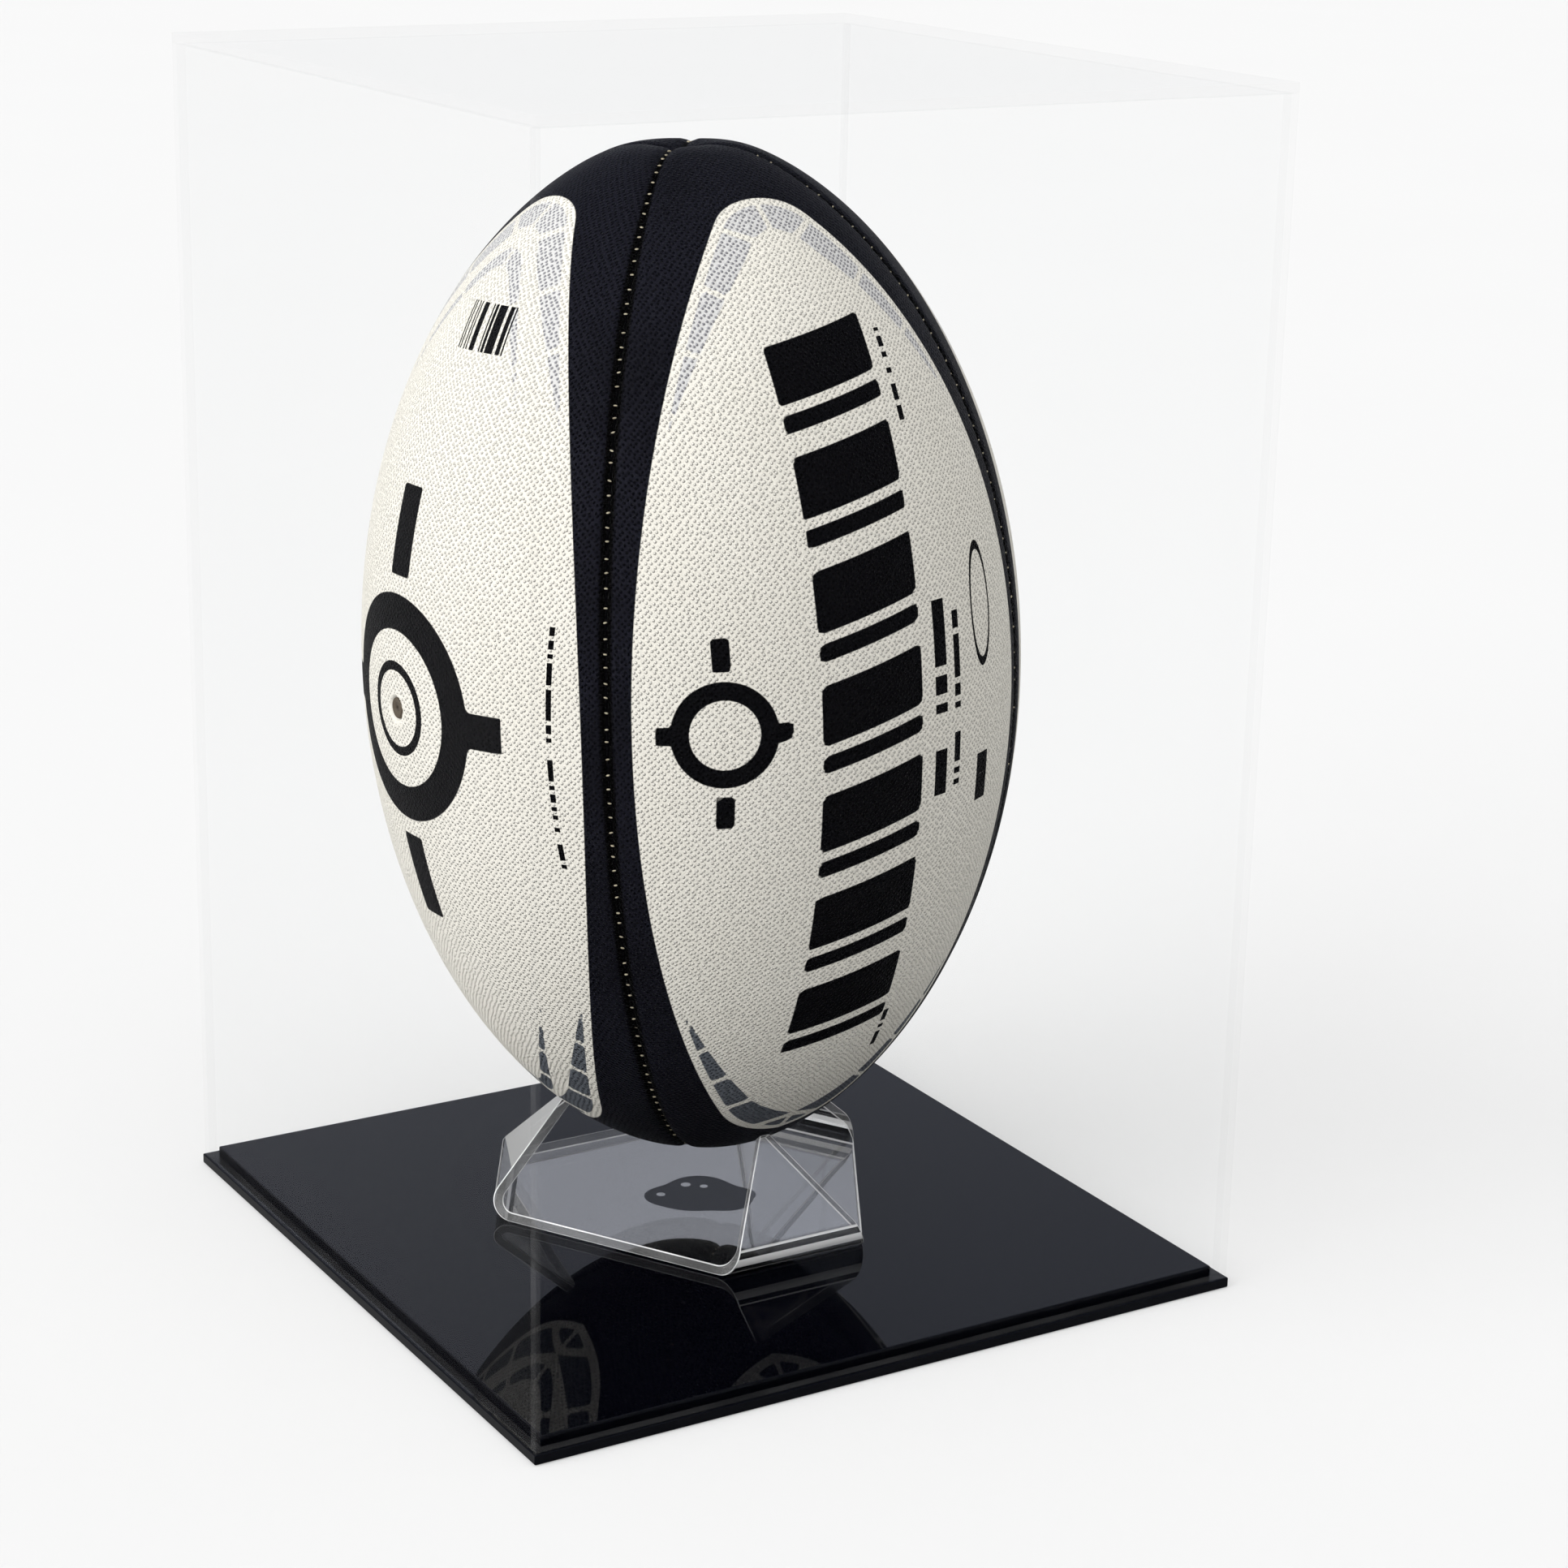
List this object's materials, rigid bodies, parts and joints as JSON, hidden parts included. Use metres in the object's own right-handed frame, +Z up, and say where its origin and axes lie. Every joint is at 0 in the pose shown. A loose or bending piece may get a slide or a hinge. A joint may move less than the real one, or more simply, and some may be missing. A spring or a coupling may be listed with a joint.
{
  "type": "football display case",
  "caption": "Clear lift-off cover over a stepped gloss black base, with a bent clear stand holding an oval ball upright on its end.",
  "frame": {"origin": "centre of the base's underside, on the surface it stands on", "axes": "+Z up; -Y is the front of the case; +X is to the right seen from the front"},
  "size_m": [0.225, 0.225, 0.344],
  "materials": {
    "black_acrylic": "polished black sheet",
    "clear_acrylic": "polished clear sheet",
    "clear_glue": "clear glue film that wets the black plate",
    "ball_skin": "pebbled, printed cream windows on near black",
    "ball_thread": "waxed cream thread in a dark seam",
    "bladder_rubber": "thin moulded rubber",
    "valve_rubber": "moulded black rubber"
  },
  "bodies": {
    "base": {"base_plate_lower": "black_acrylic", "base_plate_raised": "black_acrylic", "ball_stand": "clear_acrylic", "stand_adhesive": "clear_glue"},
    "cover": {"cover_front_panel": "clear_acrylic", "cover_back_panel": "clear_acrylic", "cover_left_panel": "clear_acrylic", "cover_right_panel": "clear_acrylic", "cover_top_panel": "clear_acrylic"},
    "ball": {"ball_panel_front": "ball_skin", "ball_panel_right": "ball_skin", "ball_panel_back": "ball_skin", "ball_panel_left": "ball_skin", "seam_thread_front_right": "ball_thread", "seam_thread_back_right": "ball_thread", "seam_thread_back_left": "ball_thread", "seam_thread_front_left": "ball_thread", "ball_bladder": "bladder_rubber", "ball_valve": "valve_rubber"}
  },
  "joints": [
    {"name": "cover_lift", "type": "slide", "parent": "base", "child": "cover", "axis": [0, 0, 1], "range_m": [0, 0.37]},
    {"name": "ball_spin", "type": "hinge", "parent": "base", "child": "ball", "pos_m": [0.00112, 0.00966, 0.17344], "axis": [-0.0332, 0.0192, 0.9993], "continuous": true}
  ]
}
